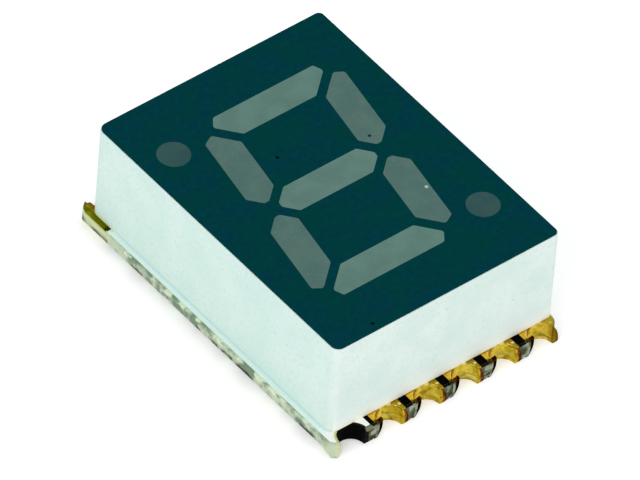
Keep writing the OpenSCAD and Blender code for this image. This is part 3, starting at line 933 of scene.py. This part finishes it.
for number in range(1, TERMINALS + 1):
    solid = "terminal_" + str(number)
    hole = hole_of(number)
    plated = copy_of_solid(solid)
    rims = corner_edges(plated, lambda p: on_open_top(p) and on_rim(p, hole))
    round_edges(plated, rims, RIM_ROUND, steps=4)
    borders = corner_edges(plated, lambda p: on_open_top(p) and not on_rim(p, hole))
    round_edges(plated, borders, LAND_ROUND, steps=2)
    make_piece(plated, "plated_" + solid, gold, "gold", solid)

# %% [markdown]
# Burrs and skins. The saw ran to the right along each end of the board. On the left of every half hole it
# dragged a leaf of copper and resin into the opening, and on the right it pulled the gold out of the hole and
# over the cut face, as a thin skin. Both could be painted on, but they change the outline of the holes, so
# each is a grid that is bent to its shape and given a thickness. A value along the grid, from its root to its
# free edge, tells the finish where the grey resin ends and the black copper begins.

# %% Burr copper
REACH = "reach"
DRAGGED_LOW, DRAGGED_HIGH = 0.45, 0.53

burr_copper, tree, shader = new_finish("burr_copper", 0.7, 0.0)
reach = piece_value(tree, REACH)
grey = clouded(tree, srgb(94, 104, 80), srgb(154, 162, 142), scale=6.0, low=0.4, high=0.6)
black_or_red = clouded(tree, srgb(1, 1, 1), srgb(14, 5, 2), scale=3.0, low=0.5, high=0.62)
colour = tint(tree, ramp(tree, reach, 0.42, 0.52), grey, black_or_red)
dragged = clouded(tree, srgb(28, 9, 2), srgb(78, 32, 6), scale=7.0, low=0.42, high=0.58)
dragged = cover(tree, dragged, ramp(tree, reach, 0.5, 0.2), 0.8, srgb(74, 64, 14))
colour = tint(tree, band(tree, UP, DRAGGED_LOW, DRAGGED_HIGH, ragged=0.1, scale=6.0), colour, dragged)
feed(tree, colour, shader["Base Color"])
relief(tree, shader, pattern(tree, "clouds", Scale=9.0, Detail=3.0, Low=0.3, High=0.7), 0.012)
print("finish:", burr_copper.name)

# %% Smeared gold
DULL_CORNER = 3.6

smeared_gold, tree, shader = new_finish("smeared_gold", 0.42, 0.4, metallic=0.9)
shader["Specular Tint"].default_value = GOLD_EDGE
reach = piece_value(tree, REACH)
colour = clouded(tree, srgb(172, 144, 32), srgb(206, 182, 62), scale=4.0, low=0.38, high=0.62)
dirt = pattern(tree, "clouds", Scale=6.0, Detail=4.0, Low=0.52, High=0.64)
colour = cover(tree, colour, dirt, 0.7, srgb(112, 84, 8))
copper = clouded(tree, srgb(84, 34, 4), srgb(140, 84, 12), scale=8.0, low=0.42, high=0.58)
colour = tint(tree, ramp(tree, reach, 0.48, 0.72), colour, copper)
colour = tint(tree, ramp(tree, reach, 0.78, 0.92), colour, srgb(54, 16, 3))
for way in (1, -1):
    corner = mark(tree, (way * DULL_CORNER, way * BOARD_LOW.y, MID_BOARD_Z), 0.3, 0.6)
    colour = cover(tree, colour, corner, 0.75, srgb(106, 80, 10))
feed(tree, colour, shader["Base Color"])
relief(tree, shader, pattern(tree, "clouds", Scale=8.0, Detail=3.0, Low=0.3, High=0.7), 0.01)
print("finish:", smeared_gold.name)

# %% Bent grids at a half hole
GRID_ACROSS, GRID_UP = 12, 10


def bent_grid(name, hole, path, thickness, finish, slot):
    """A grid that is bent by a path from (out, up) to a place beside a half hole, and made a thin solid."""
    hole_x, hole_y, way = hole
    grid = bmesh.new()
    bmesh.ops.create_grid(grid, x_segments=GRID_ACROSS, y_segments=GRID_UP, size=0.5)
    layer = grid.verts.layers.float.new(REACH)
    for vert in grid.verts:
        out, up = vert.co.x + 0.5, vert.co.y + 0.5
        vert[layer] = out
        vert.co = path(out, up)
    bmesh.ops.recalc_face_normals(grid, faces=grid.faces)
    back = bmesh.ops.extrude_face_region(grid, geom=grid.faces[:])["geom"]
    back_verts = [v for v in back if isinstance(v, bmesh.types.BMVert)]
    bmesh.ops.translate(grid, vec=(0, thickness, 0), verts=back_verts)
    bmesh.ops.scale(grid, vec=(1, way, 1), verts=grid.verts)
    bmesh.ops.translate(grid, vec=(hole_x, hole_y, 0), verts=grid.verts)
    bmesh.ops.recalc_face_normals(grid, faces=grid.faces)
    make_piece(grid, name, finish, slot)


print("points in a grid:", (GRID_ACROSS + 1) * (GRID_UP + 1))

# %% Burrs on the left of the holes
LEAF_T = 0.09
LEAF_ROOT = 0.07
LEAF_SINK = 0.012
LEAF_SUNK = 0.35
LEAF_PROUD = 0.004
LEAF_CURL = 0.035
LEAF_LOW = 0.02
LEAF_TOP = TERMINAL_TOP + 0.012
LEAF_FOOT_CUT, LEAF_TOP_CUT = 0.75, 0.1
REACHES = (0.18, 0.2, 0.21, 0.19, 0.18)
BARE_REACH, BARE_TOP, BARE_T = 0.06, 0.46, 0.03
CORNER_REACH, CORNER_TOP, CORNER_SINK, CORNER_FALL = 0.38, 0.42, 0.1, 0.55


def leaf(reach, top, sink=LEAF_SINK, fall=0.0):
    """The path of a burr: sunk in the face at its root, widest at mid height, curled in at its edge."""
    def path(out, up):
        edge = top * (1 - fall * max(0, 2 * out - 1) ** 2)
        bulge = 1 - LEAF_FOOT_CUT * (1 - up) ** 4 - LEAF_TOP_CUT * up ** 8
        side = -NOTCH_R - LEAF_ROOT + out * (LEAF_ROOT + reach * bulge)
        inward = sink * max(0, 1 - out / LEAF_SUNK) ** 2 + LEAF_CURL * out ** 3 - LEAF_PROUD
        return side, inward, LEAF_LOW + up * (edge - LEAF_LOW)
    return path


for number in range(1, TERMINALS):
    path = leaf(REACHES[(number - 1) % TO_EDGE], LEAF_TOP)
    bent_grid("burr_" + str(number), hole_of(number), path, LEAF_T, burr_copper, "gold")
corner_path = leaf(CORNER_REACH, CORNER_TOP, CORNER_SINK, CORNER_FALL)
bent_grid("burr_10", hole_of(TERMINALS), corner_path, LEAF_T, smeared_gold, "gold")
for name, way in (("burr_front", 1), ("burr_back", -1)):
    bare_hole = (way * FIRST_NOTCH, way * BOARD_LOW.y, way)
    bent_grid(name, bare_hole, leaf(BARE_REACH, BARE_TOP), BARE_T, laminate, "laminate")

# %% Skins on the right of the holes
SKIN_T, CORNER_T = 0.012, 0.14
SKIN_TURN = 0.3
SKIN_START = 0.08
SKIN_SINK = 0.02
SKIN_PROUD = 0.014
SKIN_LEAST = 0.05
SKIN_LIFT = 0.006
SKIN_EASE, SKIN_TAPER = 1.2, 2.4
SKIN_TOP = TERMINAL_TOP - 0.02
SKIN_REACHES = (0.19, 0.2, 0.18, 0.19, 0.15)


def wrap(reach):
    """The path of a skin: out of the hole, round its corner, and over the cut face, wider below."""
    def path(out, up):
        before_corner = max(0, 1 - out / SKIN_TURN)
        past_corner = max(0, (out - SKIN_TURN / 2) / (1 - SKIN_TURN / 2)) ** SKIN_EASE
        side = NOTCH_R - SKIN_LIFT + SKIN_SINK * before_corner
        side += past_corner * (SKIN_LEAST + reach * (1 - up ** SKIN_TAPER))
        inward = (SKIN_START + SKIN_PROUD) * before_corner ** 2 - SKIN_PROUD * (1 - out ** 4)
        return side, inward, up * SKIN_TOP
    return path


for number in range(1, TERMINALS + 1):
    path = wrap(SKIN_REACHES[(number - 1) % TO_EDGE])
    thickness = CORNER_T if number == TO_EDGE else SKIN_T
    bent_grid("skin_" + str(number), hole_of(number), path, thickness, smeared_gold, "gold")

# %% [markdown]
# The lumps. At the snapped corner beside an unplated half hole, the board broke off unevenly, and a little
# lump of it stands out below. It could be a bump in the finish, but it shows in the outline of the corner. So
# it is a small block with two of its lower edges raised and every edge rounded, partly sunk in the board.

# %% Lumps at the snapped corners
LUMP_SIZE = Vector((0.22, 0.4, 0.27))
LUMP_MIDDLE = Vector((-3.75, -5.2, 0.165))
LUMP_OUTER_RISE = 0.1
LUMP_INNER_RISE = 0.12
LUMP_ROUND = 0.03

for name, turn in (("lump_front", 0), ("lump_back", radians(180))):
    lump = bmesh.new()
    bmesh.ops.create_cube(lump, size=1)
    outer = [v for v in lump.verts if v.co.z < 0 and v.co.x < 0]
    inner = [v for v in lump.verts if v.co.z < 0 and v.co.y > 0]
    bmesh.ops.scale(lump, vec=LUMP_SIZE, verts=lump.verts)
    bmesh.ops.translate(lump, vec=(0, 0, LUMP_OUTER_RISE), verts=outer)
    bmesh.ops.translate(lump, vec=(0, 0, LUMP_INNER_RISE), verts=inner)
    bmesh.ops.translate(lump, vec=LUMP_MIDDLE, verts=lump.verts)
    round_edges(lump, list(lump.edges), LUMP_ROUND, steps=3)
    bmesh.ops.rotate(lump, cent=(0, 0, 0), matrix=Matrix.Rotation(turn, 3, "Z"), verts=lump.verts)
    make_piece(lump, name, laminate, "laminate")

# %% [markdown]
# Inside the wells. Under the resin sit the chips, each on a dab of silver glue, with one gold wire. They are
# hidden, so their solids stay as packed, but anyone who opens the part up should still find them finished.

# %% Chips, glue and wires
crystal, tree, shader = new_finish("chip_crystal", 0.25, 0.5)
colour = clouded(tree, srgb(196, 88, 52), srgb(222, 120, 74), scale=8.0, low=0.4, high=0.6, detail=2.0)
feed(tree, colour, shader["Base Color"])

silver, tree, shader = new_finish("silver_glue", 0.5, 0.5, metallic=0.8)
flakes = pattern(tree, "specks", Scale=30.0, Size=0.4, Share=0.6)
colour = tint(tree, flakes, srgb(150, 150, 146), srgb(198, 198, 192))
feed(tree, colour, shader["Base Color"])

for place in PLACES:
    dress_solid("chip_" + place, crystal)
    dress_solid("chip_glue_" + place, silver)
    dress_solid("bond_wire_" + place, gold)
print("dressed:", 3 * len(PLACES), "hidden solids")

# %% [markdown]
# Last, the size. The looks must not make the part bigger than its solids, so both boxes are written down and
# compared after each run.

# %% Size and finish
visual_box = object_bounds()
grown = (visual_box[1] - visual_box[0]) - (cad_box[1] - cad_box[0])
print("grown by, in mm:", [round(x / MM, 4) for x in grown])
